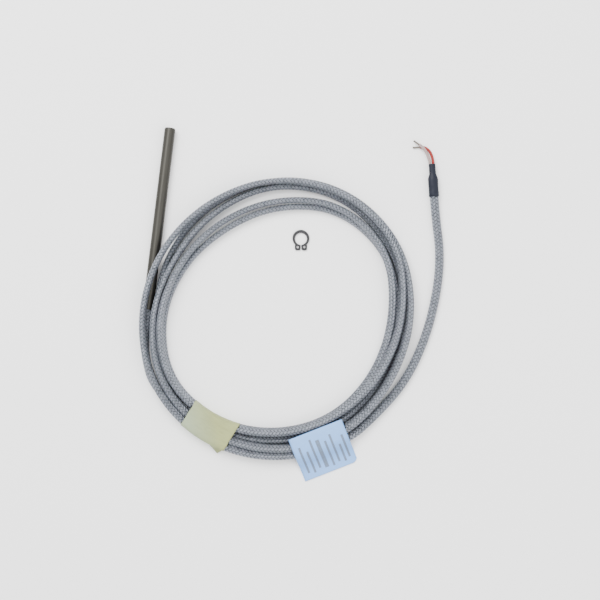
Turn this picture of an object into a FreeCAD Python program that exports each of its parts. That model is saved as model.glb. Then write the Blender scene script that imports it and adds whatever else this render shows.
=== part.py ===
import FreeCAD, Part
import math
import os

# Sheathed thermocouple with a flat overbraided lead, laid down coiled, and its loose retaining ring.
# Millimetres. The origin is the centre of the sheath's open end. +Y runs along the sheath to its
# closed tip, +Z is up, and everything lies on the surface half a sheath below the origin.

V = FreeCAD.Vector
UP = V(0, 0, 1)
ALONG = V(0, 1, 0)

# sheath
SHEATH_OD = 6.0
SHEATH_WALL = 0.4
PROBE_LENGTH = 100.0
CAP_LENGTH = 1.4
CAP_EDGE_R = 1.1
SPIGOT_LENGTH = 2.0
FIT_GAP = 0.05

# what the sheath holds
CONDUCTOR_D = 1.0
CORE_OD = 1.6
BEAD_CLEARANCE = 0.4
BEAD_BORE = 1.15
BEAD_COUNT = 5
BEAD_GAP = 0.3
JUNCTION_R = 1.5
JUNCTION_SETBACK = 2.4
FILLER_LENGTH = 5.0
LEAD_INSERT = 12.0
CORE_STUB = 10.0
SEAL_DEPTH = 5.0

# lead: two cores side by side, a glass jacket and a steel overbraid
JACKET_WALL = 0.5
BRAID_WALL = 0.35

# coil of the lead, as the outline of the bundle of turns, from 12 bearings round it
COIL_CENTRE = V(70.3, 3.7, 0)
COIL_FIRST_BEARING = 187.0
COIL_OUTER_R = (74.5, 77.4, 78.1, 77.3, 77.3, 72.1, 72.9, 77.9, 78.9, 76.8, 73.9, 73.0)
COIL_INNER_R = (60.7, 64.4, 62.2, 60.0, 59.4, 58.5, 60.8, 68.0, 65.2, 58.1, 53.6, 56.1)
COIL_HEIGHT = 10.2
COIL_EDGE_R = 1.5
CHANNEL_GAP = 1.0
GAP_START = V(8.8, 13.9, 0)
GAP_END = V(106.0, 67.6, 0)
GAP_OUTER = V(44.9, 66.4, 0)
GAP_INNER = V(46.5, 62.3, 0)

# tape and label round the coil
TAPE_THICKNESS = 0.3
TAPE_WIDTH = 27.0
TAPE_CENTRE = V(41.5, -59.0, 0)
TAPE_ANGLE = -24.5
TAPE_REACH = 21.0
LABEL_THICKNESS = 0.4
LABEL_WIDTH = 31.0
LABEL_FOLD = V(98.8, -53.9, 0)
LABEL_ANGLE = 28.4
LABEL_OVER_BUNDLE = 12.5
LABEL_SLOPE = 8.0
LABEL_LENGTH = 25.0
LABEL_LIFT = 0.2
LABEL_EASE = 0.2

# tail: the stretch of lead that leaves the coil
TAIL_POINTS = (
    (114.6, -57.0),
    (130.6, -43.0),
    (144.4, -23.4),
    (152.6, 0.4),
    (156.2, 26.4),
    (155.6, 49.4),
    (149.9, 70.6),
    (146.4, 89.2),
)
RUN_SHARE = 0.45

# how far a cutting shape runs past what it cuts
CUT_OVER = 1.0

# heat-shrink sleeve over the lead's end
SLEEVE_WALL = 0.35
SLEEVE_OVER_LEAD = 10.5
SLEEVE_SHOULDER = 2.0
SLEEVE_NECK = 5.4
SLEEVE_NECK_R = 1.9
WIRE_START = 1.5
WIRE_SPREAD = 0.05

# the two wires beyond the sleeve: bends, then where the insulation stops, then the bare end
WHITE_POINTS = ((142.0, 102.2, -0.2), (139.0, 106.6, -0.3), (133.4, 109.4, -1.5))
RED_POINTS = ((144.4, 102.2, -1.2), (142.6, 105.2, -1.8), (138.9, 107.1, -2.05), (133.4, 105.7, -2.4))
BARE_LENGTH = 3.6

# external retaining ring for a 7 mm shaft
RING_CENTRE = V(78.5, 48.5, 0)
RING_TURN = 7.0
RING_BORE_D = 6.5
RING_THICKNESS = 0.8
RING_BEAM = 1.7
RING_OFFSET = 0.28
RING_LUG_HEIGHT = 3.1
RING_LUG_WIDTH = 3.1
RING_LUG_R = 1.0
RING_GAP = 0.5
RING_HOLE_D = 1.2
RING_HOLE_X = 1.85
RING_HOLE_Y = 4.5

# worked out from the sizes above
FLOOR = -SHEATH_OD / 2
BORE_R = SHEATH_OD / 2 - SHEATH_WALL
BEAD_R = BORE_R - BEAD_CLEARANCE
LEAD_WIDTH = 2 * CORE_OD + 2 * (JACKET_WALL + BRAID_WALL)
LEAD_THICKNESS = CORE_OD + 2 * (JACKET_WALL + BRAID_WALL)
CORE_X = CORE_OD / 2
TUBE_END = PROBE_LENGTH - CAP_LENGTH
FILLER_END = TUBE_END - SPIGOT_LENGTH
FILLER_START = FILLER_END - FILLER_LENGTH
JUNCTION_Y = FILLER_END - JUNCTION_SETBACK
BEADS_START = LEAD_INSERT + CORE_STUB
COIL_BOTTOM = FLOOR + TAPE_THICKNESS
COIL_TOP = COIL_BOTTOM + COIL_HEIGHT
SLEEVE_R = LEAD_WIDTH / 2 + SLEEVE_WALL
TAIL_Z = FLOOR + SLEEVE_R
CHANNEL_R = SHEATH_OD / 2 + CHANNEL_GAP


def save(shape, node):
    shape.exportStep(f"parts/{node}.step")


def rod(radius, start, end, x=0.0):
    return Part.makeCylinder(radius, end - start, V(x, start, 0), ALONG)


def stadium(width, thickness, start, end):
    half = (width - thickness) / 2
    r = thickness / 2
    left = rod(r, start, end, -half)
    right = rod(r, start, end, half)
    middle = Part.makeBox(2 * half, end - start, thickness, V(-half, start, -r))
    return middle.fuse([left, right]).removeSplitter()


def bend_path(points):
    """Straight runs joined by tangent arcs, and the arcs' radii."""
    edges = []
    radii = []
    last = points[0]
    for a, b, c in zip(points, points[1:], points[2:]):
        before = a.sub(b)
        after = c.sub(b)
        turn = math.pi - before.getAngle(after)
        reach = RUN_SHARE * min(before.Length, after.Length)
        radii.append(reach / math.tan(turn / 2))
        start = b.add(V(before).normalize().multiply(reach))
        end = b.add(V(after).normalize().multiply(reach))
        inward = V(before).normalize().add(V(after).normalize()).normalize()
        middle = b.add(inward.multiply(radii[-1] / math.cos(turn / 2) - radii[-1]))
        edges.append(Part.LineSegment(last, start).toShape())
        edges.append(Part.Arc(start, middle, end).toShape())
        last = end
    edges.append(Part.LineSegment(last, points[-1]).toShape())
    return Part.Wire(edges), radii


def tube_along(points, radius, name):
    path, radii = bend_path(points)
    first = V(points[1]).sub(points[0])
    section = Part.Wire(Part.makeCircle(radius, points[0], first))
    solid = path.makePipeShell([section], True, False, 1)
    share = solid.Volume / (math.pi * radius ** 2 * path.Length)
    print(f"{name}: length {path.Length:.1f}, radii {[round(r, 1) for r in radii]}, volume share {share:.3f}")
    return solid


def ring_outline(radii, outset=0.0):
    step = 360.0 / len(radii)
    points = []
    for i, r in enumerate(radii):
        a = math.radians(COIL_FIRST_BEARING + i * step)
        points.append(COIL_CENTRE.add(V(math.cos(a), math.sin(a), 0).multiply(r + outset)))
    curve = Part.BSplineCurve()
    curve.interpolate(Points=points, PeriodicFlag=True)
    return Part.Wire(curve.toShape())


def bundle(outset, bottom, height):
    outer = Part.Face(ring_outline(COIL_OUTER_R, outset)).extrude(UP * height)
    inner = Part.Face(ring_outline(COIL_INNER_R, -outset)).extrude(UP * height)
    solid = outer.cut(inner)
    solid.translate(V(0, 0, bottom))
    return solid


def turned_box(width, reach, bottom, height, corner, angle):
    box = Part.makeBox(width, reach, height, V(-width / 2, -reach, bottom))
    box.rotate(V(0, 0, 0), UP, angle)
    box.translate(corner)
    return box


def make_probe():
    tube = rod(SHEATH_OD / 2, 0, TUBE_END).cut(rod(BORE_R, 0, TUBE_END))
    save(tube, "sheath_tube")

    cap = rod(SHEATH_OD / 2, TUBE_END, PROBE_LENGTH)
    rim = [e for e in cap.Edges if abs(e.CenterOfMass.y - PROBE_LENGTH) < 1e-6]
    cap = cap.makeFillet(CAP_EDGE_R, rim)
    cap = cap.fuse(rod(BORE_R - FIT_GAP, FILLER_END, TUBE_END))
    save(cap, "tip_cap")

    wires = {}
    for colour, side in (("white", -1), ("red", 1)):
        wire = rod(CONDUCTOR_D / 2, 0, JUNCTION_Y, side * CORE_X)
        wires[colour] = wire
        save(wire, f"thermoelement_{colour}")
        core = rod(CORE_OD / 2, LEAD_INSERT, BEADS_START, side * CORE_X)
        save(core.cut(wire), f"core_insulation_{colour}")

    ball = Part.makeSphere(JUNCTION_R, V(0, JUNCTION_Y, 0))
    ball = ball.cut(Part.makeCompound(list(wires.values())))
    save(ball, "hot_junction")

    filler = rod(BORE_R - FIT_GAP, FILLER_START, FILLER_END)
    filler = filler.cut(Part.makeSphere(JUNCTION_R, V(0, JUNCTION_Y, 0)))
    filler = filler.cut(Part.makeCompound(list(wires.values())))
    save(filler, "tip_filler")

    room = FILLER_START - BEADS_START - (BEAD_COUNT + 1) * BEAD_GAP
    length = room / BEAD_COUNT
    for i in range(BEAD_COUNT):
        start = BEADS_START + BEAD_GAP + i * (length + BEAD_GAP)
        bead = rod(BEAD_R, start, start + length)
        for side in (-1, 1):
            bead = bead.cut(rod(BEAD_BORE / 2, start, start + length, side * CORE_X))
        save(bead, f"insulator_bead_{i + 1}")

    braid = stadium(LEAD_WIDTH, LEAD_THICKNESS, 0, LEAD_INSERT)
    jacket_width = LEAD_WIDTH - 2 * BRAID_WALL
    jacket = stadium(jacket_width, LEAD_THICKNESS - 2 * BRAID_WALL, 0, LEAD_INSERT)
    save(braid.cut(jacket), "overbraid_end")
    save(jacket.cut(Part.makeCompound(list(wires.values()))), "jacket_end")

    seal = rod(BORE_R - FIT_GAP, 0, SEAL_DEPTH).cut(braid)
    save(seal, "cement_seal")


def make_coil():
    coil = bundle(0.0, COIL_BOTTOM, COIL_HEIGHT)
    top_edges = [e for e in coil.Edges if abs(e.CenterOfMass.z - COIL_TOP) < 1e-6]
    coil = coil.makeChamfer(COIL_EDGE_R, top_edges)

    outer = Part.Arc(GAP_START, GAP_OUTER, GAP_END).toShape()
    inner = Part.Arc(GAP_END, GAP_INNER, GAP_START).toShape()
    gap = Part.Face(Part.Wire([outer, inner])).extrude(UP * (COIL_HEIGHT + 2 * CUT_OVER))
    gap.translate(V(0, 0, COIL_BOTTOM - CUT_OVER))
    coil = coil.cut(gap)

    channel = rod(CHANNEL_R, 0, PROBE_LENGTH)
    below = Part.makeBox(2 * CHANNEL_R, PROBE_LENGTH, CHANNEL_R, V(-CHANNEL_R, 0, -CHANNEL_R))
    return coil.cut(channel.fuse(below))


def make_tape(coil):
    band = bundle(TAPE_THICKNESS, FLOOR, COIL_HEIGHT + 2 * TAPE_THICKNESS)
    height = COIL_HEIGHT + 2 * TAPE_THICKNESS + 2 * CUT_OVER
    window = turned_box(TAPE_WIDTH, 2 * TAPE_REACH, FLOOR - CUT_OVER, height, TAPE_CENTRE, TAPE_ANGLE)
    turn = math.radians(TAPE_ANGLE)
    window.translate(V(-math.sin(turn), math.cos(turn), 0) * TAPE_REACH)
    return band.common(window).cut(bundle(0.0, COIL_BOTTOM, COIL_HEIGHT))


def make_label():
    top = COIL_TOP + TAPE_THICKNESS
    rest = FLOOR + LABEL_LIFT
    end = LABEL_OVER_BUNDLE + LABEL_SLOPE
    profile = [
        V(0, 0, top),
        V(0, -LABEL_OVER_BUNDLE, top),
        V(0, -end, rest),
        V(0, -LABEL_LENGTH, rest),
        V(0, -LABEL_LENGTH, rest + LABEL_THICKNESS),
        V(0, -end - LABEL_EASE, rest + LABEL_THICKNESS),
        V(0, -LABEL_OVER_BUNDLE - LABEL_EASE, top + LABEL_THICKNESS),
        V(0, 0, top + LABEL_THICKNESS),
        V(0, 0, top),
    ]
    sheet = Part.Face(Part.makePolygon(profile)).extrude(V(LABEL_WIDTH, 0, 0))
    sheet.translate(V(-LABEL_WIDTH / 2, 0, 0))
    sheet.rotate(V(0, 0, 0), UP, LABEL_ANGLE)
    sheet.translate(LABEL_FOLD)
    return sheet


def make_lead():
    coil = make_coil()
    save(make_tape(coil), "tape_wrap")
    save(make_label(), "label")

    points = [V(x, y, TAIL_Z) for x, y in TAIL_POINTS]
    tail = tube_along(points, LEAD_WIDTH / 2, "lead_tail")
    save(coil, "lead_coil")
    save(tail.cut(coil), "lead_tail")

    axis = V(points[-1]).sub(points[-2]).normalize()
    side = V(-axis.y, axis.x, 0)
    mouth = V(points[-1]).sub(V(axis).multiply(SLEEVE_OVER_LEAD - WIRE_START))
    lead_end = points[-1]
    shoulder = V(mouth).add(V(axis).multiply(SLEEVE_OVER_LEAD))
    neck = V(shoulder).add(V(axis).multiply(SLEEVE_SHOULDER))
    tip = V(neck).add(V(axis).multiply(SLEEVE_NECK))
    body = Part.makeCylinder(SLEEVE_R, SLEEVE_OVER_LEAD, mouth, axis)
    cone = Part.makeCone(SLEEVE_R, SLEEVE_NECK_R, SLEEVE_SHOULDER, shoulder, axis)
    collar = Part.makeCylinder(SLEEVE_NECK_R, SLEEVE_NECK, neck, axis)
    bore = Part.makeCylinder(LEAD_WIDTH / 2, SLEEVE_OVER_LEAD - WIRE_START, mouth, axis)
    sleeve = body.fuse([cone, collar]).removeSplitter().cut(bore)

    for colour, way, bends in (("white", 1, WHITE_POINTS), ("red", -1, RED_POINTS)):
        start = V(lead_end).add(V(side).multiply(way * (CORE_X + WIRE_SPREAD)))
        exit_point = V(tip).add(V(side).multiply(way * (CORE_X + WIRE_SPREAD)))
        route = [start, exit_point] + [V(*p) for p in bends]
        conductor = tube_along(route, CONDUCTOR_D / 2, f"wire_{colour}")
        cover = tube_along(route, CORE_OD / 2, f"wire_insulation_{colour}")
        last = V(route[-1]).sub(route[-2]).normalize()
        stop = V(route[-1]).sub(V(last).multiply(BARE_LENGTH))
        trim = Part.makeCylinder(CORE_OD / 2 + CUT_OVER, BARE_LENGTH + CUT_OVER, stop, last)
        cover = cover.cut(trim)
        sleeve = sleeve.cut(cover)
        save(conductor, f"wire_{colour}")
        save(cover.cut(conductor), f"wire_insulation_{colour}")
    save(sleeve, "heat_shrink_sleeve")


def make_retaining_ring():
    bore_r = RING_BORE_D / 2
    body = Part.makeCylinder(bore_r + RING_BEAM - RING_OFFSET, RING_THICKNESS, V(0, RING_OFFSET, 0))
    for way in (-1, 1):
        left = RING_GAP / 2 if way > 0 else -RING_GAP / 2 - RING_LUG_WIDTH
        corner = V(left, -bore_r - RING_LUG_HEIGHT, 0)
        lug = Part.makeBox(RING_LUG_WIDTH, RING_LUG_HEIGHT, RING_THICKNESS, corner)
        upright = [e for e in lug.Edges if abs(e.Length - RING_THICKNESS) < 1e-6]
        outer = [e for e in upright if e.CenterOfMass.y < -bore_r - RING_LUG_HEIGHT / 2]
        body = body.fuse(lug.makeFillet(RING_LUG_R, outer))
    body = body.cut(Part.makeCylinder(bore_r, RING_THICKNESS))
    reach = bore_r + RING_LUG_HEIGHT + CUT_OVER
    slot = Part.makeBox(RING_GAP, reach, RING_THICKNESS, V(-RING_GAP / 2, -reach, 0))
    body = body.cut(slot)
    for way in (-1, 1):
        hole = Part.makeCylinder(RING_HOLE_D / 2, RING_THICKNESS, V(way * RING_HOLE_X, -RING_HOLE_Y, 0))
        body = body.cut(hole)
    body.rotate(V(0, 0, 0), UP, RING_TURN)
    body.translate(V(RING_CENTRE.x, RING_CENTRE.y, FLOOR))
    save(body, "retaining_ring")


os.makedirs("parts", exist_ok=True)
make_probe()
make_lead()
make_retaining_ring()
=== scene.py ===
import math

import bmesh
import bpy
from bpy.props import FloatProperty, FloatVectorProperty, PointerProperty
from mathutils import Matrix, Vector, geometry, noise


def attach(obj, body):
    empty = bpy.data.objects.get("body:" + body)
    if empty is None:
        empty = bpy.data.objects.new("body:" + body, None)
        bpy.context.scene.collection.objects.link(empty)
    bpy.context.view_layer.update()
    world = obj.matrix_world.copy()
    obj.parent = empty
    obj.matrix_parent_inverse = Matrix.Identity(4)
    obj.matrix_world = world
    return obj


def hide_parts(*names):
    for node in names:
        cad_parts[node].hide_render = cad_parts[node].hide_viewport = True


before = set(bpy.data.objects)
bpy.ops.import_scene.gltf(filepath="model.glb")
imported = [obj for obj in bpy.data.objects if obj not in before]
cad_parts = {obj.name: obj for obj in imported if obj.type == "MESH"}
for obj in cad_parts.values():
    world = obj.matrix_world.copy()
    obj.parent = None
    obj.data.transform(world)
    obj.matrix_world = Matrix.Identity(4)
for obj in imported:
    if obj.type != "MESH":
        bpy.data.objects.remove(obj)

bl_info = {
    "name": "Sheathed thermocouple",
    "version": (1, 0, 0),
    "blender": (4, 5, 0),
    "location": "View3D > Sidebar > Thermocouple",
    "description": "Builds a sheathed probe with a coiled, wire-braided lead and a loose retaining ring",
    "category": "Object",
}

MM = 0.001
FLOOR = -3.0
ROOT = "root"

# camera: where it stands, in millimetres, with its height over the floor, and its turn in degrees
CAMERA_X = 82.1
CAMERA_Y = 15.1
CAMERA_HEIGHT = 779.0
CAMERA_TURN = 7.02

# lead: how the coil lies, in millimetres and degrees
COIL_CENTRE = Vector((70.3, 3.7, 0))
FIRST_BEARING = 187.0
STATION = 30.0
# a curve runs inside its control points, at this share of their distance from the centre
HOOP_SHARE = 0.966
HALF_WIDTH = 2.45
HALF_THICKNESS = 1.65
# the lean of the lead's width, which swings once round the coil
LEAN_START = 270.0
LEAN_MIDDLE = 60.0
LEAN_SWING = 30.0
LEAN_PEAK = 340.0
# each turn: the strand's distance from the coil's centre and its height, at bearings a station apart
TURN_POINTS = (
    (None, (75.0, -0.7), (73.0, -0.8), (71.0, -0.9), (70.9, -0.9), (69.7, -0.8),
     (70.1, -0.7), (72.7, -0.6), (74.6, -0.4), (72.0, -0.2), (66.2, 0.4), (63.0, 2.6)),
    ((66.4, 5.2), (71.0, 4.0), (71.2, 3.5), (71.2, 3.1), (71.8, 3.1), (70.0, 3.4),
     (72.7, 3.8), (77.3, 1.1), (78.0, -0.1), (75.4, -0.4), (70.6, -0.5), (67.4, -0.6)),
    ((64.4, -0.6), (71.3, -0.7), (68.8, -0.8), (66.6, -0.9), (66.4, -0.9), (65.2, -0.9),
     (66.0, -0.6), (69.2, -0.6), (67.0, -0.5), (59.6, -0.5), (55.0, -0.5), (56.8, -0.6)),
    ((61.6, -0.4), (66.1, -0.7), (64.4, -0.8), (62.1, -0.9), (61.6, -1.0), (60.7, -0.7),
     (62.5, 1.1), (69.2, 4.5), (69.8, 3.6), (63.4, 1.4), (59.6, 1.4), (59.0, 3.8)),
    ((62.9, 4.4), (66.6, 4.0), (64.6, 3.4), (62.4, 3.1), (61.6, 3.2), (63.4, 3.4),
     (67.7, 3.6), (75.5, 4.1), (76.5, 4.3), (74.8, 4.5), (71.7, 4.8), (71.1, 5.8)),
    ((72.4, 5.1), (75.2, 4.2), (75.5, 3.6), (75.4, 1.8), (75.0, 0.6)),
)
# either end of the lead: x, y, z, and the lean of its width
MOUTH_POINTS = ((0, 0, 0, 0), (0, -12, -0.3, 15), (1.2, -25, -0.6, 45))
TAIL_POINTS = (
    (130.6, -43.0, -0.9, 20),
    (144.4, -23.4, -1.25, 8),
    (152.6, 0.4, -1.35, 0),
    (156.2, 26.4, -1.35, 0),
    (155.6, 49.4, -1.35, 0),
    (149.9, 70.6, -0.9, 0),
    (146.4, 89.2, -0.2, 0),
)


def level_heading(start, end):
    return Vector((end[0] - start[0], end[1] - start[1], 0)).normalized()


LEAD_END = Vector(TAIL_POINTS[-1][:3])
LEAD_END_AXIS = level_heading(TAIL_POINTS[-2], TAIL_POINTS[-1])
LEAD_SIDE = Vector((-LEAD_END_AXIS.y, LEAD_END_AXIS.x, 0))
LEAD_CORE_R = 1.26

# braid: one repeat of the weave, in millimetres
CARRIERS = 8
LAY = 16.0
REPEAT = 4.0
STEPS = 8
RIBBON_SECTION = ((-0.5, 0.0), (-0.24, 0.065), (0.24, 0.065), (0.5, 0.0), (0.0, -0.065))
WEAVE_HEIGHT = 0.12
WEAVE_DEPTH = 0.2
# the ripple of the wires across a ribbon, in radians to a millimetre
WIRE_WAVE = 31.4
BRAID_PIECES = 6

# the lead's far end: the sleeve, its two cores and their stripped wires, in millimetres
SLEEVE_BACK = 9.0
SLEEVE_REACH = 8.9
SLEEVE_PROFILE = (
    (0.0, 2.35), (0.0, 2.7), (0.25, 2.82), (1.2, 2.8), (4.0, 2.74), (7.5, 2.78), (9.0, 2.84), (10.2, 2.7),
    (11.3, 2.3), (12.5, 1.92), (14.0, 1.84), (16.0, 1.87), (17.7, 1.86), (17.9, 1.74), (17.9, 0.6),
)
SLEEVE_FLATNESS = 0.82
CORE_X = 0.85
WHITE_POINTS = ((142.0, 102.2, -0.2), (139.0, 106.6, -0.3), (133.4, 109.4, -1.5))
RED_POINTS = ((144.4, 102.2, -1.2), (142.6, 105.2, -1.8), (138.9, 107.1, -2.05), (133.4, 105.7, -2.4))
CORE_R = 0.78
BARE_LENGTH = 3.6
STRAND_R = 0.165
STRANDS = 6
STRAND_STEPS = 24
STRAND_OFFSET = 0.31
STRAND_TWIST = 0.8
STRAND_TUCK = 1.0
# how fast the strands spread, and the share of their length where that starts
STRAND_SPLAY = 0.35
SPLAY_START = 0.7
# the glass sleeving's yarns, in radians to a metre
YARN_WAVE = 9000.0

# paper: the tape round the bundle and the label folded over it, in millimetres and degrees
PAPER_FLAT_BELOW = -2.0
TAPE_CENTRE = Vector((41.5, -59.0, 0))
TAPE_TURN = -24.5
TAPE_WIDTH = 27.2
TAPE_SLACK = 0.22
TAPE_COLUMNS = 40
TAPE_ROUND = 72
TAPE_THICKNESS = 0.14
# strands further than this from the tape's middle are on the far side of the coil
TAPE_REACH = 25.0
SECTION_ROUND = 16
TAPE_FLAP = ((2.6, 8.2), (13.7, 6.6), (11.4, 11.3), (6.2, 9.6))
LABEL_FOLD = Vector((98.8, -53.9, 0))
LABEL_TURN = 28.4
# the label's length as cut, in metres: its two faces, and the way round the turns between them
LABEL_THICKNESS = 0.09
LABEL_COLUMNS = 24
LABEL_STEPS = 5
LABEL_FOLD_POINT = 10
LABEL_PROFILE = (
    (25.3, -2.55), (22.0, -2.5), (19.4, -2.1), (17.0, -0.9), (14.8, 1.3), (12.9, 3.3), (10.4, 5.0),
    (7.2, 5.6), (3.6, 5.6), (1.0, 5.4), (0.1, 5.0), (1.1, 4.4), (1.9, 2.6), (2.4, 0.6), (3.2, -1.6),
    (5.0, -2.65), (12.0, -2.8), (18.0, -2.8), (25.2, -2.72),
)
LABEL_FACE = LABEL_PROFILE[0][0]


# ---------------------------------------------------------------- settings


class TC_LeadSettings(bpy.types.PropertyGroup):
    colour: FloatVectorProperty(
        name="Braid colour", description="Colour of the braid's steel wires", subtype="COLOR", size=3,
        default=(0.125, 0.135, 0.155), min=0.0, max=1.0)
    ribbon: FloatProperty(
        name="Ribbon width", description="Width of one carrier's wires as a share of the drawn one",
        default=1.0, min=0.6, max=1.15, subtype="FACTOR")


class TC_ProbeSettings(bpy.types.PropertyGroup):
    sheath: FloatVectorProperty(
        name="Sheath colour", description="Colour of the drawn steel sheath", subtype="COLOR", size=3,
        default=(0.055, 0.053, 0.047), min=0.0, max=1.0)
    ring: FloatVectorProperty(
        name="Ring colour", description="Colour of the spring steel retaining ring", subtype="COLOR", size=3,
        default=(0.03, 0.03, 0.032), min=0.0, max=1.0)


class TC_EndSettings(bpy.types.PropertyGroup):
    sleeve: FloatVectorProperty(
        name="Sleeve colour", description="Colour of the heat-shrink sleeve", subtype="COLOR", size=3,
        default=(0.008, 0.010, 0.018), min=0.0, max=1.0)
    white: FloatVectorProperty(
        name="White core colour", description="Colour of the white core's glass sleeving", subtype="COLOR",
        size=3, default=(0.34, 0.26, 0.25), min=0.0, max=1.0)
    red: FloatVectorProperty(
        name="Red core colour", description="Colour of the red core's glass sleeving", subtype="COLOR",
        size=3, default=(0.26, 0.014, 0.010), min=0.0, max=1.0)


class TC_PaperSettings(bpy.types.PropertyGroup):
    tape: FloatVectorProperty(
        name="Tape colour", description="Colour of the creped masking tape", subtype="COLOR", size=3,
        default=(0.27, 0.29, 0.12), min=0.0, max=1.0)
    label: FloatVectorProperty(
        name="Label colour", description="Colour of the label's paper", subtype="COLOR", size=3,
        default=(0.19, 0.38, 0.75), min=0.0, max=1.0)
    label_width: FloatProperty(
        name="Label width", description="Width of the label round the coil", default=0.031, min=0.02,
        max=0.04, unit="LENGTH")


class TC_StageSettings(bpy.types.PropertyGroup):
    floor: FloatVectorProperty(
        name="Floor colour", description="Colour of the pale floor", subtype="COLOR", size=3,
        default=(0.97, 0.97, 0.97), min=0.0, max=1.0)
    world: FloatProperty(
        name="Sky strength", description="Strength of the even light from all round", default=1.5, min=0.0,
        max=5.0)
    key: FloatProperty(
        name="Key power", description="Power of the large soft light", default=22.0, min=0.0, max=200.0,
        unit="POWER")


# ---------------------------------------------------------------- shader writing


class Sock:
    """A shader socket whose arithmetic adds Math nodes."""

    def __init__(self, tree, out):
        self.tree = tree
        self.out = out

    def _math(self, operation, a, b):
        node = self.tree.nodes.new("ShaderNodeMath")
        node.operation = operation
        for slot, value in zip(node.inputs, (a, b)):
            plug(self.tree, slot, value)
        return Sock(self.tree, node.outputs[0])

    def __add__(self, other):
        return self._math("ADD", self, other)

    def __sub__(self, other):
        return self._math("SUBTRACT", self, other)

    def __mul__(self, other):
        return self._math("MULTIPLY", self, other)

    def __gt__(self, other):
        return self._math("GREATER_THAN", self, other)

    def __lt__(self, other):
        return self._math("LESS_THAN", self, other)


def plug(tree, slot, value):
    if isinstance(value, Sock):
        tree.links.new(value.out, slot)
    else:
        slot.default_value = value


class Shader:
    """A material being written, with its Principled BSDF."""

    def __init__(self, name):
        self.material = bpy.data.materials.new(name)
        self.material.use_nodes = True
        self.tree = self.material.node_tree
        self.surface = self.tree.nodes["Principled BSDF"]

    def node(self, kind, settings=None, inputs=None, output=0):
        node = self.tree.nodes.new(kind)
        for key, value in (settings or {}).items():
            setattr(node, key, value)
        for key, value in (inputs or {}).items():
            plug(self.tree, node.inputs[key], value)
        return Sock(self.tree, node.outputs[output])

    def coords(self):
        return self.node("ShaderNodeTexCoord", output="Object")

    def split(self, vector):
        node = self.tree.nodes.new("ShaderNodeSeparateXYZ")
        plug(self.tree, node.inputs[0], vector)
        return [Sock(self.tree, out) for out in node.outputs]

    def attribute(self, name):
        return self.node("ShaderNodeAttribute", {"attribute_name": name}, output="Vector")

    def noise(self, scale, detail=2.0, vector=None, stretch=None):
        vector = vector or self.coords()
        if stretch:
            vector = self.node("ShaderNodeVectorMath", {"operation": "MULTIPLY"}, {0: vector, 1: stretch})
        return self.node("ShaderNodeTexNoise", None, {"Vector": vector, "Scale": scale, "Detail": detail})

    def mix(self, factor, a, b):
        node = self.tree.nodes.new("ShaderNodeMix")
        node.data_type = "RGBA"
        for slot, value in ((node.inputs[0], factor), (node.inputs[6], a), (node.inputs[7], b)):
            plug(self.tree, slot, value if isinstance(value, (Sock, float, int)) else (*value, 1))
        return Sock(self.tree, node.outputs[2])

    def bump(self, height, distance):
        normal = self.node("ShaderNodeBump", None, {"Height": height, "Distance": distance})
        plug(self.tree, self.surface.inputs["Normal"], normal)

    def set(self, **inputs):
        for key, value in inputs.items():
            slot = self.surface.inputs[key.replace("_", " ")]
            plug(self.tree, slot, value if isinstance(value, Sock) or key != "Base_Color" else (*value, 1))
        return self.material


def shade(colour, factor):
    return tuple(min(1.0, c * factor) for c in colour)


def steel(name, colour, roughness, streak):
    """Drawn or worked steel: fine streaks, and soft patches of tone."""
    s = Shader(name)
    fine = s.noise(900.0, 3.0, stretch=streak)
    patch = s.noise(60.0, 2.0)
    colour = s.mix(fine * 0.6 + patch * 0.4, shade(colour, 0.72), shade(colour, 1.25))
    s.bump(fine, 0.00002)
    return s.set(Base_Color=colour, Roughness=patch * 0.14 + roughness, Metallic=1.0)


def braid_steel(name, colour):
    """Side by side wires of one carrier, with a painted highlight where it passes over, painted shade where
    it dips under, and faint painted shade between the wires.
    """
    s = Shader(name)
    across, _, over = s.split(s.attribute("ribbon"))
    wave = s.node("ShaderNodeMath", {"operation": "SINE"}, {0: across * WIRE_WAVE})
    tone = s.noise(420.0, 2.0)
    # random tone plus painted light: highlight where the carrier lies high, shade where it dips under, faint
    # shade between its wires
    tone_and_painted_light = s.node("ShaderNodeMapRange", {"clamp": True},
                   {"Value": over * 0.9 + tone * 0.6 - 0.3 + wave * 0.05, "From Min": 0.1, "From Max": 1.0,
                    "To Min": 0.0, "To Max": 1.0})
    colour = s.mix(tone_and_painted_light, shade(colour, 0.05), shade(colour, 2.7))
    s.bump(wave, 0.00004)
    return s.set(Base_Color=colour, Roughness=tone * 0.15 + 0.3, Metallic=0.85)


def plain(name, colour, roughness, grain=400.0, depth=0.00003, spread=0.12, shine=0.5):
    """A matt surface with fine grain."""
    s = Shader(name)
    grains = s.noise(grain, 3.0)
    colour = s.mix(grains, shade(colour, 1 - spread), shade(colour, 1 + spread))
    s.bump(grains, depth)
    return s.set(Base_Color=colour, Roughness=roughness, Specular_IOR_Level=shine)


def glass_braid(name, colour):
    """Woven glass sleeving: two crossing sets of fine yarns."""
    s = Shader(name)
    x, y, z = s.split(s.coords())
    one = s.node("ShaderNodeMath", {"operation": "SINE"}, {0: (x + y) * YARN_WAVE})
    two = s.node("ShaderNodeMath", {"operation": "SINE"}, {0: (x - y + z) * YARN_WAVE})
    yarn = one * two
    colour = s.mix(yarn * 0.3 + 0.5, shade(colour, 0.72), shade(colour, 1.2))
    s.bump(yarn, 0.00006)
    return s.set(Base_Color=colour, Roughness=0.62)


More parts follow.
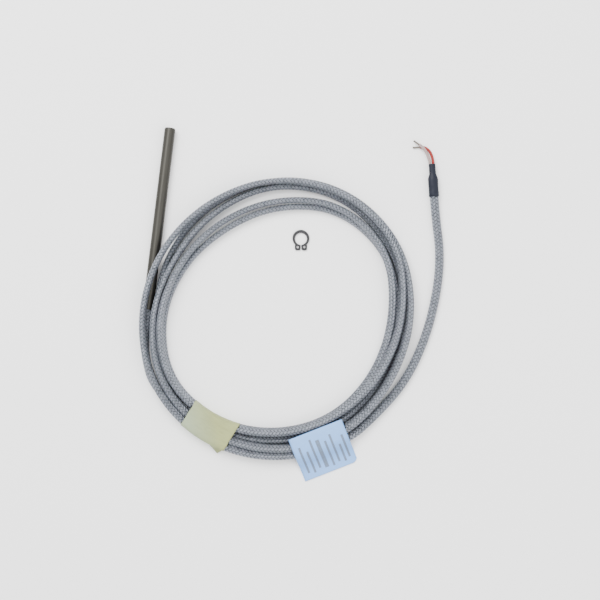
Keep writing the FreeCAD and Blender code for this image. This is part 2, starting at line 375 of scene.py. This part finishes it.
def crepe_paper(name, colour):
    """Masking tape: crepe across it, and painted cool light, a paler bluish tone, towards one end."""
    s = Shader(name)
    turned = s.node("ShaderNodeVectorRotate", {"rotation_type": "Z_AXIS"},
                    {"Vector": s.coords(), "Angle": math.radians(-TAPE_TURN)})
    crepe = s.noise(700.0, 3.0, vector=turned, stretch=(0.25, 1.0, 1.0))
    broad = s.noise(70.0, 2.0, vector=turned)
    x, y, _ = s.split(s.coords())
    # painted cool light: the tape turns a paler bluish tone towards its end at low x and y
    painted_cool_light = s.node("ShaderNodeMapRange", {"clamp": True},
                  {"Value": x + y * 0.4, "From Min": 0.006, "From Max": 0.022, "To Min": 0.4, "To Max": 0.0})
    warm = s.mix(crepe * 0.5 + broad * 0.5, shade(colour, 0.68), shade(colour, 1.3))
    colour = s.mix(painted_cool_light, warm, (0.27, 0.36, 0.33))
    s.bump(crepe * 0.5 + broad, 0.00012)
    return s.set(Base_Color=colour, Roughness=0.72)


def printed_paper(name, colour):
    """Label paper with plain grey bars that stand for print; the bars carry no lettering."""
    s = Shader(name)
    across, along, face = s.split(s.attribute("sheet"))
    ink = None
    bars = ((0.12, 0.020, 0.14, 0.76), (0.23, 0.020, 0.10, 0.62), (0.34, 0.020, 0.16, 0.84),
            (0.46, 0.036, 0.12, 0.78), (0.59, 0.020, 0.10, 0.70), (0.70, 0.020, 0.14, 0.80),
            (0.81, 0.020, 0.10, 0.52), (0.90, 0.020, 0.16, 0.70))
    for middle, half, low, high in bars:
        bar = (across > middle - half) * (across < middle + half) * (along > low) * (along < high)
        ink = bar if ink is None else ink + bar
    ink = ink * (s.noise(1500.0, 2.0) * 0.4 + 0.65) * (face > 0.5)
    grain = s.noise(300.0, 3.0)
    paper = s.mix(grain, shade(colour, 0.93), shade(colour, 1.06))
    s.bump(grain, 0.00002)
    return s.set(Base_Color=s.mix(ink, paper, (0.11, 0.13, 0.16)), Roughness=0.6)


# ---------------------------------------------------------------- making pieces


def link(name, data, material, body=ROOT):
    piece = bpy.data.objects.new(name, data)
    bpy.context.scene.collection.objects.link(piece)
    data.materials.append(material)
    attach(piece, body)
    return piece


def mesh_piece(name, bm, material):
    bmesh.ops.recalc_face_normals(bm, faces=bm.faces)
    data = bpy.data.meshes.new(name)
    bm.to_mesh(data)
    bm.free()
    data.polygons.foreach_set("use_smooth", [True] * len(data.polygons))
    return link(name, data, material)


def paper_piece(name, bm, thickness, where, material):
    """A thin sheet, given its thickness and put in its place."""
    bmesh.ops.recalc_face_normals(bm, faces=bm.faces)
    bmesh.ops.solidify(bm, geom=bm.faces, thickness=thickness)
    bmesh.ops.transform(bm, verts=bm.verts, matrix=Matrix.Scale(MM, 4) @ where)
    return mesh_piece(name, bm, material)


def extruded_rings(bm, ring, edges, steps):
    """The rings of vertices of a tube that grows from its first ring, a step at a time."""
    rings = [ring]
    known = set(ring)
    for _ in range(steps):
        grown = bmesh.ops.extrude_edge_only(bm, edges=edges)["geom"]
        edges = [g for g in grown if isinstance(g, bmesh.types.BMEdge)
                 and all(v not in known for v in g.verts)]
        ring = [next(e.other_vert(v) for e in v.link_edges if e.other_vert(v) not in known)
                for v in rings[-1]]
        known.update(ring)
        rings.append(ring)
    return rings


def add_spline(data, points, kind, tilts=None):
    spline = data.splines.new(kind)
    spline.points.add(len(points) - 1)
    for i, (point, place) in enumerate(zip(spline.points, points)):
        point.co = (*(Vector(place) * MM), 1)
        if tilts:
            point.tilt = tilts[i]
    if kind == "NURBS":
        spline.order_u = 3
        spline.use_endpoint_u = True


def curve_data(name, points, tilts=None, kind="NURBS"):
    """A smooth curve, or a plain line of points, given in millimetres."""
    data = bpy.data.curves.new(name, "CURVE")
    data.dimensions = "3D"
    data.twist_mode = "Z_UP"
    data.use_deform_bounds = False
    data.resolution_u = 12
    add_spline(data, points, kind, tilts)
    return data


def line_of(data):
    """The points, in millimetres, of a curve with no bevel."""
    holder = bpy.data.objects.new("line", data)
    bpy.context.scene.collection.objects.link(holder)
    bpy.context.view_layer.update()
    mesh = bpy.data.meshes.new_from_object(holder.evaluated_get(bpy.context.evaluated_depsgraph_get()))
    points = [v.co / MM for v in mesh.vertices]
    bpy.data.objects.remove(holder)
    return points


def run_lengths(points):
    total = [0.0]
    for a, b in zip(points, points[1:]):
        total.append(total[-1] + (b - a).length)
    return total


def lean_at(station):
    """The lean of the lead's width at one station of a turn, in degrees."""
    bearing = LEAN_START - STATION * station
    return LEAN_MIDDLE + LEAN_SWING * math.cos(math.radians(bearing - LEAN_PEAK))


def lead_route():
    """Points of the whole lead in millimetres, and the lean of its width at each, in degrees."""
    route = list(MOUTH_POINTS)
    for turn in TURN_POINTS:
        for i, station in enumerate(turn):
            if station is None:
                continue
            r, z = station
            bearing = math.radians(FIRST_BEARING + STATION * i)
            flat = COIL_CENTRE + Vector((math.cos(bearing), math.sin(bearing), 0)) * (r / HOOP_SHARE)
            route.append((flat.x, flat.y, z, lean_at(i)))
    route.extend(TAIL_POINTS)
    return [Vector(place) for *place, _ in route], [lean for *_, lean in route]


def stadium_point(around, outward):
    """A point of the lead's section: its share of the way round, and how far out from the weave's middle."""
    r = HALF_THICKNESS - WEAVE_DEPTH
    half = HALF_WIDTH - HALF_THICKNESS
    lengths = (2 * half, math.pi * r, 2 * half, math.pi * r)
    s = (around % 1.0) * sum(lengths)
    if s < lengths[0]:
        return Vector((r + outward, -half + s))
    s -= lengths[0]
    if s < lengths[1]:
        a = s / r
        return Vector(((r + outward) * math.cos(a), half + (r + outward) * math.sin(a)))
    s -= lengths[1]
    if s < lengths[2]:
        return Vector((-r - outward, half - s))
    a = (s - lengths[2]) / r
    return Vector((-(r + outward) * math.cos(a), -half - (r + outward) * math.sin(a)))


def weave_repeat(share):
    """One repeat of a two-over, two-under braid of flat carriers, lying along X."""
    bm = bmesh.new()
    layer = bm.verts.layers.float_vector.new("ribbon")
    around = 2 * math.pi * (HALF_THICKNESS - WEAVE_DEPTH) + 4 * (HALF_WIDTH - HALF_THICKNESS)
    slope = math.atan2(around, LAY)
    for way in (1, -1):
        for i in range(CARRIERS):
            start = bmesh.ops.create_circle(bm, segments=len(RIBBON_SECTION), radius=0.1)["verts"]
            edges = list(dict.fromkeys(e for v in start for e in v.link_edges))
            rings = extruded_rings(bm, start, edges, STEPS)
            for step, ring in enumerate(rings):
                s = REPEAT * step / STEPS
                crossing = s * 2 * CARRIERS / LAY
                weave = way * math.cos(math.pi / 2 * (2 * i + way * crossing - 0.5))
                for v, (p, n) in zip(ring, RIBBON_SECTION):
                    p *= share
                    w = i / CARRIERS + way * s / LAY + p * math.cos(slope) / around
                    section = stadium_point(w, WEAVE_HEIGHT * weave + n)
                    v.co = Vector((s - way * p * math.sin(slope), section.x, section.y)) * MM
                    # the third value, how high the carrier lies, sets the braid's painted highlight and
                    # painted shade
                    v[layer] = (p, s, 0.5 + 0.5 * weave)
    bmesh.ops.recalc_face_normals(bm, faces=bm.faces)
    data = bpy.data.meshes.new("weave_repeat")
    bm.to_mesh(data)
    bm.free()
    return data


def frozen(piece):
    """The piece's mesh with its modifiers applied, and its open ends closed."""
    bpy.context.view_layer.update()
    mesh = bpy.data.meshes.new_from_object(piece.evaluated_get(bpy.context.evaluated_depsgraph_get()))
    piece.modifiers.clear()
    bm = bmesh.new()
    bm.from_mesh(mesh)
    bmesh.ops.holes_fill(bm, edges=[e for e in bm.edges if e.is_boundary], sides=8)
    bmesh.ops.recalc_face_normals(bm, faces=bm.faces)
    bm.to_mesh(mesh)
    bm.free()
    mesh.polygons.foreach_set("use_smooth", [True] * len(mesh.polygons))
    piece.data = mesh


def tubes(name, lines, radius, material, resolution=3):
    """Round tubes of one radius along several lines, as one piece."""
    data = curve_data(name, lines[0], kind="POLY")
    for line in lines[1:]:
        add_spline(data, line, "POLY")
    data.bevel_depth = radius * MM
    data.bevel_resolution = resolution
    data.use_fill_caps = True
    return link(name, data, material)


def placed(origin, turn):
    return Matrix.Translation(origin) @ Matrix.Rotation(math.radians(turn), 4, "Z")


def smooth_line(points, per):
    """More points along a line of (distance, height) pairs, through a Catmull-Rom curve."""
    known = [Vector(p) for p in (points[0], *points, points[-1])]
    out = []
    for p0, p1, p2, p3 in zip(known, known[1:], known[2:], known[3:]):
        for j in range(per):
            t = j / per
            out.append(0.5 * (2 * p1 + (p2 - p0) * t + (2 * p0 - 5 * p1 + 4 * p2 - p3) * t * t
                              + (3 * p1 - p0 - 3 * p2 + p3) * t ** 3))
    out.append(known[-1])
    return out


def taut_loop(line, leans, share, t):
    """The outline that tape pulled tight round the strands has, where they cross the plane x = t."""
    outline = []
    for i, (a, b) in enumerate(zip(line, line[1:])):
        if (a.x - t) * (b.x - t) > 0 or a.x == b.x or abs(a.y) > TAPE_REACH:
            continue
        middle = a.lerp(b, (t - a.x) / (b.x - a.x))
        lean = math.radians(leans[round(i * share)])
        half = HALF_WIDTH - HALF_THICKNESS
        for way in (1, -1):
            for end in (1, -1):
                y = middle.y + end * way * half * math.cos(lean)
                z = middle.z + end * half * math.sin(lean)
                for step in range(SECTION_ROUND):
                    angle = 2 * math.pi * step / SECTION_ROUND
                    reach = HALF_THICKNESS + TAPE_SLACK
                    outline.append(Vector((y + reach * math.cos(angle), z + reach * math.sin(angle))))
    hull = [outline[i] for i in geometry.convex_hull_2d(outline)]
    middle = sum(hull, Vector((0, 0))) / len(hull)
    loop = []
    for i in range(TAPE_ROUND):
        angle = 2 * math.pi * i / TAPE_ROUND
        far = middle + Vector((math.cos(angle), math.sin(angle))) * 60
        for a, b in zip(hull, hull[1:] + hull[:1]):
            hit = geometry.intersect_line_line_2d(middle, far, a, b)
            if hit:
                loop.append((hit.x, max(FLOOR + 0.03, hit.y)))
                break
    return loop


def shrunk_sleeve():
    """The sleeve, turned from its profile, a little uneven and flattened, over the lead's end."""
    bm = bmesh.new()
    verts = [bm.verts.new((x, r, 0)) for x, r in SLEEVE_PROFILE]
    edges = [bm.edges.new(pair) for pair in zip(verts, verts[1:])]
    bmesh.ops.spin(bm, geom=verts + edges, cent=(0, 0, 0), axis=(1, 0, 0), angle=2 * math.pi, steps=40,
                   use_merge=True)
    bmesh.ops.holes_fill(bm, edges=[e for e in bm.edges if e.is_boundary], sides=60)
    bmesh.ops.subdivide_edges(bm, edges=[e for e in bm.edges if e.calc_length() > 1.5], cuts=2,
                              use_grid_fill=True)
    for v in bm.verts:
        bulge = 0.05 * noise.noise(v.co * 0.6) + 0.03 * noise.noise(v.co * 1.7)
        v.co.y *= 1 + bulge
        v.co.z *= SLEEVE_FLATNESS * (1 + bulge)
    mouth = LEAD_END - LEAD_END_AXIS * SLEEVE_BACK
    turn = Matrix((LEAD_END_AXIS, LEAD_SIDE, Vector((0, 0, 1)))).transposed().to_4x4()
    bmesh.ops.transform(bm, verts=bm.verts, matrix=Matrix.Scale(MM, 4) @ Matrix.Translation(mouth) @ turn)
    return bm


def strand_lines(start, end):
    """One stripped wire's strands, as lines: six twisted round a straight one, a little spread at the end."""
    heading = (end - start).normalized()
    side = heading.cross(Vector((0, 0, 1))).normalized()
    up = side.cross(heading)
    lines = []
    for strand in range(STRANDS + 1):
        points = []
        for step in range(STRAND_STEPS + 1):
            share = step / STRAND_STEPS
            middle = start.lerp(end, share)
            if strand == STRANDS:
                points.append(middle)
                continue
            angle = 2 * math.pi * (strand / STRANDS + STRAND_TWIST * share)
            out = STRAND_OFFSET * (1 + STRAND_SPLAY * max(0.0, share - SPLAY_START))
            points.append(middle + side * out * math.cos(angle) + up * out * math.sin(angle))
        lines.append(points)
    return lines


def tape_band():
    """The tape pulled tight round the bundle along X, with rucks on top and uneven edges."""
    points, leans = lead_route()
    line = line_of(curve_data("tape_guide", points))
    inward = placed(TAPE_CENTRE, TAPE_TURN).inverted()
    local = [inward @ p for p in line]
    share = (len(leans) - 1) / (len(line) - 1)
    bm = bmesh.new()
    verts = [bm.verts.new((0, i, 0)) for i in range(TAPE_ROUND)]
    edges = [bm.edges.new((a, b)) for a, b in zip(verts, verts[1:] + verts[:1])]
    for column, ring in enumerate(extruded_rings(bm, verts, edges, TAPE_COLUMNS)):
        t = TAPE_WIDTH * (column / TAPE_COLUMNS - 0.5)
        for v, (y, z) in zip(ring, taut_loop(local, leans, share, t)):
            ruck = abs(noise.noise(Vector((t * 0.28, y * 0.5, z * 0.5)))) * 0.3
            ruck += abs(noise.noise(Vector((t * 1.1, y * 0.7, 3.0)))) * 0.14
            edge = 0.4 * noise.noise(Vector((y * 0.35, z * 0.35, float(column > TAPE_COLUMNS / 2))))
            lift = ruck if z > PAPER_FLAT_BELOW else 0.0
            v.co = Vector((t + edge * abs(2 * t / TAPE_WIDTH), y - (0.5 * lift if y < 0 else -0.5 * lift),
                           z + lift))
    return bm


def tape_end():
    """The tape's loose end, which bends down from the band towards the floor."""
    bm = bmesh.new()
    bmesh.ops.create_grid(bm, x_segments=14, y_segments=8, size=0.5)
    corners = [Vector(p) for p in TAPE_FLAP]
    for v in bm.verts:
        s, t = v.co.x + 0.5, v.co.y + 0.5
        near = corners[0] * (1 - s) + corners[1] * s
        far = corners[3] * (1 - s) + corners[2] * s
        flat = near * (1 - t) + far * t
        z = 1.6 - 3.9 * t ** 0.8 + 0.25 * noise.noise(Vector((flat.x * 0.6, flat.y * 0.6, 0)))
        v.co = Vector((flat.x, -flat.y, z))
    return bm


def folded_label(width):
    """The label folded along its profile, with one rounded corner and slight rucks."""
    bm = bmesh.new()
    layer = bm.verts.layers.float_vector.new("sheet")
    profile = smooth_line(LABEL_PROFILE, LABEL_STEPS)
    bmesh.ops.create_grid(bm, x_segments=LABEL_COLUMNS, y_segments=len(profile) - 1, size=0.5)
    for v in bm.verts:
        row = round((v.co.y + 0.5) * (len(profile) - 1))
        across = v.co.x + 0.5
        d, z = profile[row]
        upper = row <= LABEL_STEPS * LABEL_FOLD_POINT
        ruck = 0.2 * abs(noise.noise(Vector((across * 5, d * 0.12, 1.0)))) if z > PAPER_FLAT_BELOW else 0.0
        # the corner is rounded over the last 8 percent of the width and 5.3 mm of the face
        rounding = 1.8 * max(0.0, (across - 0.92) / 0.08) ** 2 * max(0.0, (d - 20) / 5.3) ** 2
        v.co = Vector((width * (across - 0.5), -(d - rounding), z + ruck))
        v[layer] = (across, 1 - d / LABEL_FACE, 1.0 if upper else 0.0)
    return bm


# ---------------------------------------------------------------- operators


class TC_OT_stage(bpy.types.Operator):
    """Adds the camera, the floor and the soft light"""

    bl_idname = "thermocouple.stage"
    bl_label = "Stage"

    def execute(self, context):
        settings = context.scene.tc_stage
        camera = bpy.data.objects.new("camera", bpy.data.cameras.new("camera"))
        camera.data.lens = 85.0
        camera.data.sensor_width = 36.0
        camera.data.clip_end = 10.0
        camera.location = (CAMERA_X * MM, CAMERA_Y * MM, (CAMERA_HEIGHT + FLOOR) * MM)
        camera.rotation_euler = (0, 0, math.radians(CAMERA_TURN))
        context.scene.collection.objects.link(camera)
        context.scene.camera = camera

        bm = bmesh.new()
        bmesh.ops.create_grid(bm, x_segments=1, y_segments=1, size=3.0)
        bmesh.ops.translate(bm, verts=bm.verts, vec=(0, 0, (FLOOR - 0.02) * MM))
        data = bpy.data.meshes.new("floor")
        bm.to_mesh(data)
        bm.free()
        floor = bpy.data.objects.new("floor", data)
        pale = Shader("floor")
        data.materials.append(pale.set(Base_Color=tuple(settings.floor), Roughness=0.9))
        context.scene.collection.objects.link(floor)

        world = bpy.data.worlds.new("world")
        world.use_nodes = True
        sky = world.node_tree.nodes["Background"]
        sky.inputs["Color"].default_value = (1, 1, 1, 1)
        sky.inputs["Strength"].default_value = settings.world
        context.scene.world = world
        for name, place, size, power in (("key", (-0.35, 0.55, 0.9), 0.7, settings.key),
                                         ("fill", (0.7, -0.3, 0.8), 0.9, settings.key * 0.35)):
            lamp = bpy.data.lights.new(name, "AREA")
            lamp.size = size
            lamp.energy = power
            light = bpy.data.objects.new(name, lamp)
            light.location = place
            aim = Vector((0.08, 0.02, 0)) - Vector(place)
            light.rotation_euler = aim.to_track_quat("-Z", "Y").to_euler()
            context.scene.collection.objects.link(light)
        return {"FINISHED"}


class TC_OT_lead(bpy.types.Operator):
    """Builds the flat lead: its core along the whole route, and the woven steel over it"""

    bl_idname = "thermocouple.lead"
    bl_label = "Lead"

    def execute(self, context):
        settings = context.scene.tc_lead
        points, leans = lead_route()
        tilts = [math.radians(90 - lean) for lean in leans]
        data = curve_data("lead_core", points, tilts=tilts)
        length = run_lengths(line_of(data))[-1]
        data.extrude = (HALF_WIDTH - HALF_THICKNESS) * MM
        data.bevel_depth = LEAD_CORE_R * MM
        data.bevel_resolution = 2
        data.use_fill_caps = True
        core = link("lead_core", data, plain("lead_jacket", (0.035, 0.037, 0.042), 0.7))
        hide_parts("lead_coil", "lead_tail")

        bare = curve_data("lead_line", points, tilts=tilts)
        guide = bpy.data.objects.new("lead_line", bare)
        context.scene.collection.objects.link(guide)
        wire = braid_steel("braid_wire", settings.colour)
        repeats = int(length / REPEAT)
        each = math.ceil(repeats / BRAID_PIECES)
        module = weave_repeat(settings.ribbon)
        for i in range(BRAID_PIECES):
            first = i * each
            count = min(each, repeats - first)
            mesh = module.copy()
            mesh.transform(Matrix.Translation((first * REPEAT * MM, 0, 0)))
            piece = link(f"braid_{i + 1}", mesh, wire)
            array = piece.modifiers.new("repeat", "ARRAY")
            array.count = count
            array.use_relative_offset = False
            array.use_constant_offset = True
            array.constant_offset_displace = (REPEAT * MM, 0, 0)
            array.use_merge_vertices = True
            array.merge_threshold = 0.000004
            bend = piece.modifiers.new("route", "CURVE")
            bend.object = guide
            frozen(piece)
        bpy.data.objects.remove(guide)
        return {"FINISHED"}


class TC_OT_probe(bpy.types.Operator):
    """Gives the sheath, its tip, the lead's end in its mouth and the retaining ring their finishes"""

    bl_idname = "thermocouple.probe"
    bl_label = "Probe and ring"

    def execute(self, context):
        settings = context.scene.tc_probe
        sheath = steel("sheath_steel", settings.sheath, 0.4, (1.0, 0.05, 1.0))
        finishes = {
            "sheath_tube": sheath,
            "tip_cap": sheath,
            "retaining_ring": plain("ring_steel", settings.ring, 0.45, 900.0, 0.00002, 0.3, 0.2),
            "cement_seal": plain("cement", (0.5, 0.48, 0.43), 0.9),
            "overbraid_end": steel("braid_end", (0.45, 0.46, 0.5), 0.4, (1.0, 1.0, 1.0)),
            "jacket_end": glass_braid("jacket_glass", (0.7, 0.68, 0.62)),
            "tip_filler": plain("magnesia", (0.8, 0.79, 0.75), 0.9),
            "hot_junction": steel("weld", (0.3, 0.29, 0.28), 0.4, (1.0, 1.0, 1.0)),
        }
        ceramic = plain("bead_ceramic", (0.82, 0.8, 0.74), 0.75)
        wire = steel("conductor", (0.40, 0.38, 0.35), 0.35, (1.0, 0.1, 1.0))
        ends = context.scene.tc_ends
        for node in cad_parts:
            if node.startswith("insulator_bead"):
                finishes[node] = ceramic
            if node.startswith("thermoelement"):
                finishes[node] = wire
        finishes["core_insulation_white"] = glass_braid("inner_white_glass", ends.white)
        finishes["core_insulation_red"] = glass_braid("inner_red_glass", ends.red)
        for node, material in finishes.items():
            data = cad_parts[node].data
            data.materials.clear()
            data.materials.append(material)
        return {"FINISHED"}


class TC_OT_ends(bpy.types.Operator):
    """Builds the heat-shrink sleeve, the two cores and their stripped, stranded ends"""

    bl_idname = "thermocouple.ends"
    bl_label = "Sleeve and wires"

    def execute(self, context):
        settings = context.scene.tc_ends
        shrink = plain("shrink", settings.sleeve, 0.5, 500.0, 0.00002, 0.3, 0.2)
        sleeve = mesh_piece("sleeve", shrunk_sleeve(), shrink)
        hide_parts("heat_shrink_sleeve")

        tip = LEAD_END + LEAD_END_AXIS * SLEEVE_REACH
        bare = steel("bare_wire", (0.16, 0.14, 0.12), 0.4, (1.0, 1.0, 1.0))
        for colour, way, bends, tone in (("white", 1, WHITE_POINTS, settings.white),
                                         ("red", -1, RED_POINTS, settings.red)):
            route = [LEAD_END + LEAD_SIDE * way * CORE_X, tip + LEAD_SIDE * way * CORE_X]
            route += [Vector(p) for p in bends]
            line = line_of(curve_data(f"{colour}_line", route))
            runs = run_lengths(line)
            stop = runs[-1] - BARE_LENGTH
            covered = [p for p, run in zip(line, runs) if run <= stop]
            cover = tubes(f"core_{colour}", [covered], CORE_R, glass_braid(f"{colour}_glass", tone),
                          4)
            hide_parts(f"wire_insulation_{colour}")
            open_part = [p for p, run in zip(line, runs) if run > stop - STRAND_TUCK]
            strands = tubes(f"strands_{colour}", strand_lines(open_part[0], open_part[-1]), STRAND_R, bare,
                            1)
            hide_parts(f"wire_{colour}")
        return {"FINISHED"}


class TC_OT_tape(bpy.types.Operator):
    """Builds the masking tape that holds the turns together, with its loose end"""

    bl_idname = "thermocouple.tape"
    bl_label = "Tape"

    def execute(self, context):
        crepe = crepe_paper("tape_paper", context.scene.tc_paper.tape)
        where = placed(TAPE_CENTRE, TAPE_TURN)
        tape = paper_piece("tape", tape_band(), TAPE_THICKNESS, where, crepe)
        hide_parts("tape_wrap")
        paper_piece("tape_flap", tape_end(), TAPE_THICKNESS, where, crepe)
        return {"FINISHED"}


class TC_OT_label(bpy.types.Operator):
    """Builds the paper label that is folded round the outer turns"""

    bl_idname = "thermocouple.label"
    bl_label = "Label"

    def execute(self, context):
        settings = context.scene.tc_paper
        label = paper_piece("paper_label", folded_label(settings.label_width / MM), LABEL_THICKNESS,
                            placed(LABEL_FOLD, LABEL_TURN), printed_paper("label_print", settings.label))
        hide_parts("label")
        return {"FINISHED"}


class TC_OT_declare(bpy.types.Operator):
    """Lists the names of the lead's pieces; nothing more is done with them"""

    bl_idname = "thermocouple.declare"
    bl_label = "Declare the lead"

    def execute(self, context):
        names = [f"braid_{i + 1}" for i in range(BRAID_PIECES)]
        names += ["sleeve", "core_white", "core_red", "strands_white", "strands_red", "tape", "tape_flap",
                  "paper_label"]
        return {"FINISHED"}


class TC_PT_panel(bpy.types.Panel):
    """Lists the operators and their settings"""

    bl_idname = "TC_PT_panel"
    bl_label = "Thermocouple"
    bl_space_type = "VIEW_3D"
    bl_region_type = "UI"
    bl_category = "Thermocouple"

    def draw(self, context):
        for operator in OPERATORS:
            self.layout.operator(operator.bl_idname)
        for name in SETTINGS:
            group = getattr(context.scene, name)
            for prop in group.bl_rna.properties:
                if prop.identifier not in {"rna_type", "name"}:
                    self.layout.prop(group, prop.identifier)


OPERATORS = (TC_OT_stage, TC_OT_lead, TC_OT_probe, TC_OT_ends, TC_OT_tape, TC_OT_label, TC_OT_declare)
SETTINGS = {
    "tc_stage": TC_StageSettings,
    "tc_lead": TC_LeadSettings,
    "tc_probe": TC_ProbeSettings,
    "tc_ends": TC_EndSettings,
    "tc_paper": TC_PaperSettings,
}
CLASSES = (*SETTINGS.values(), *OPERATORS, TC_PT_panel)


def register():
    for cls in CLASSES:
        bpy.utils.register_class(cls)
    for name, group in SETTINGS.items():
        setattr(bpy.types.Scene, name, PointerProperty(type=group))


def unregister():
    for name in SETTINGS:
        delattr(bpy.types.Scene, name)
    for cls in reversed(CLASSES):
        bpy.utils.unregister_class(cls)


def main():
    register()
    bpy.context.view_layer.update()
    bpy.ops.thermocouple.stage()
    bpy.ops.thermocouple.lead()
    bpy.ops.thermocouple.probe()
    bpy.ops.thermocouple.ends()
    bpy.ops.thermocouple.tape()
    bpy.ops.thermocouple.label()
    bpy.ops.thermocouple.declare()


if __name__ == "__main__":
    main()
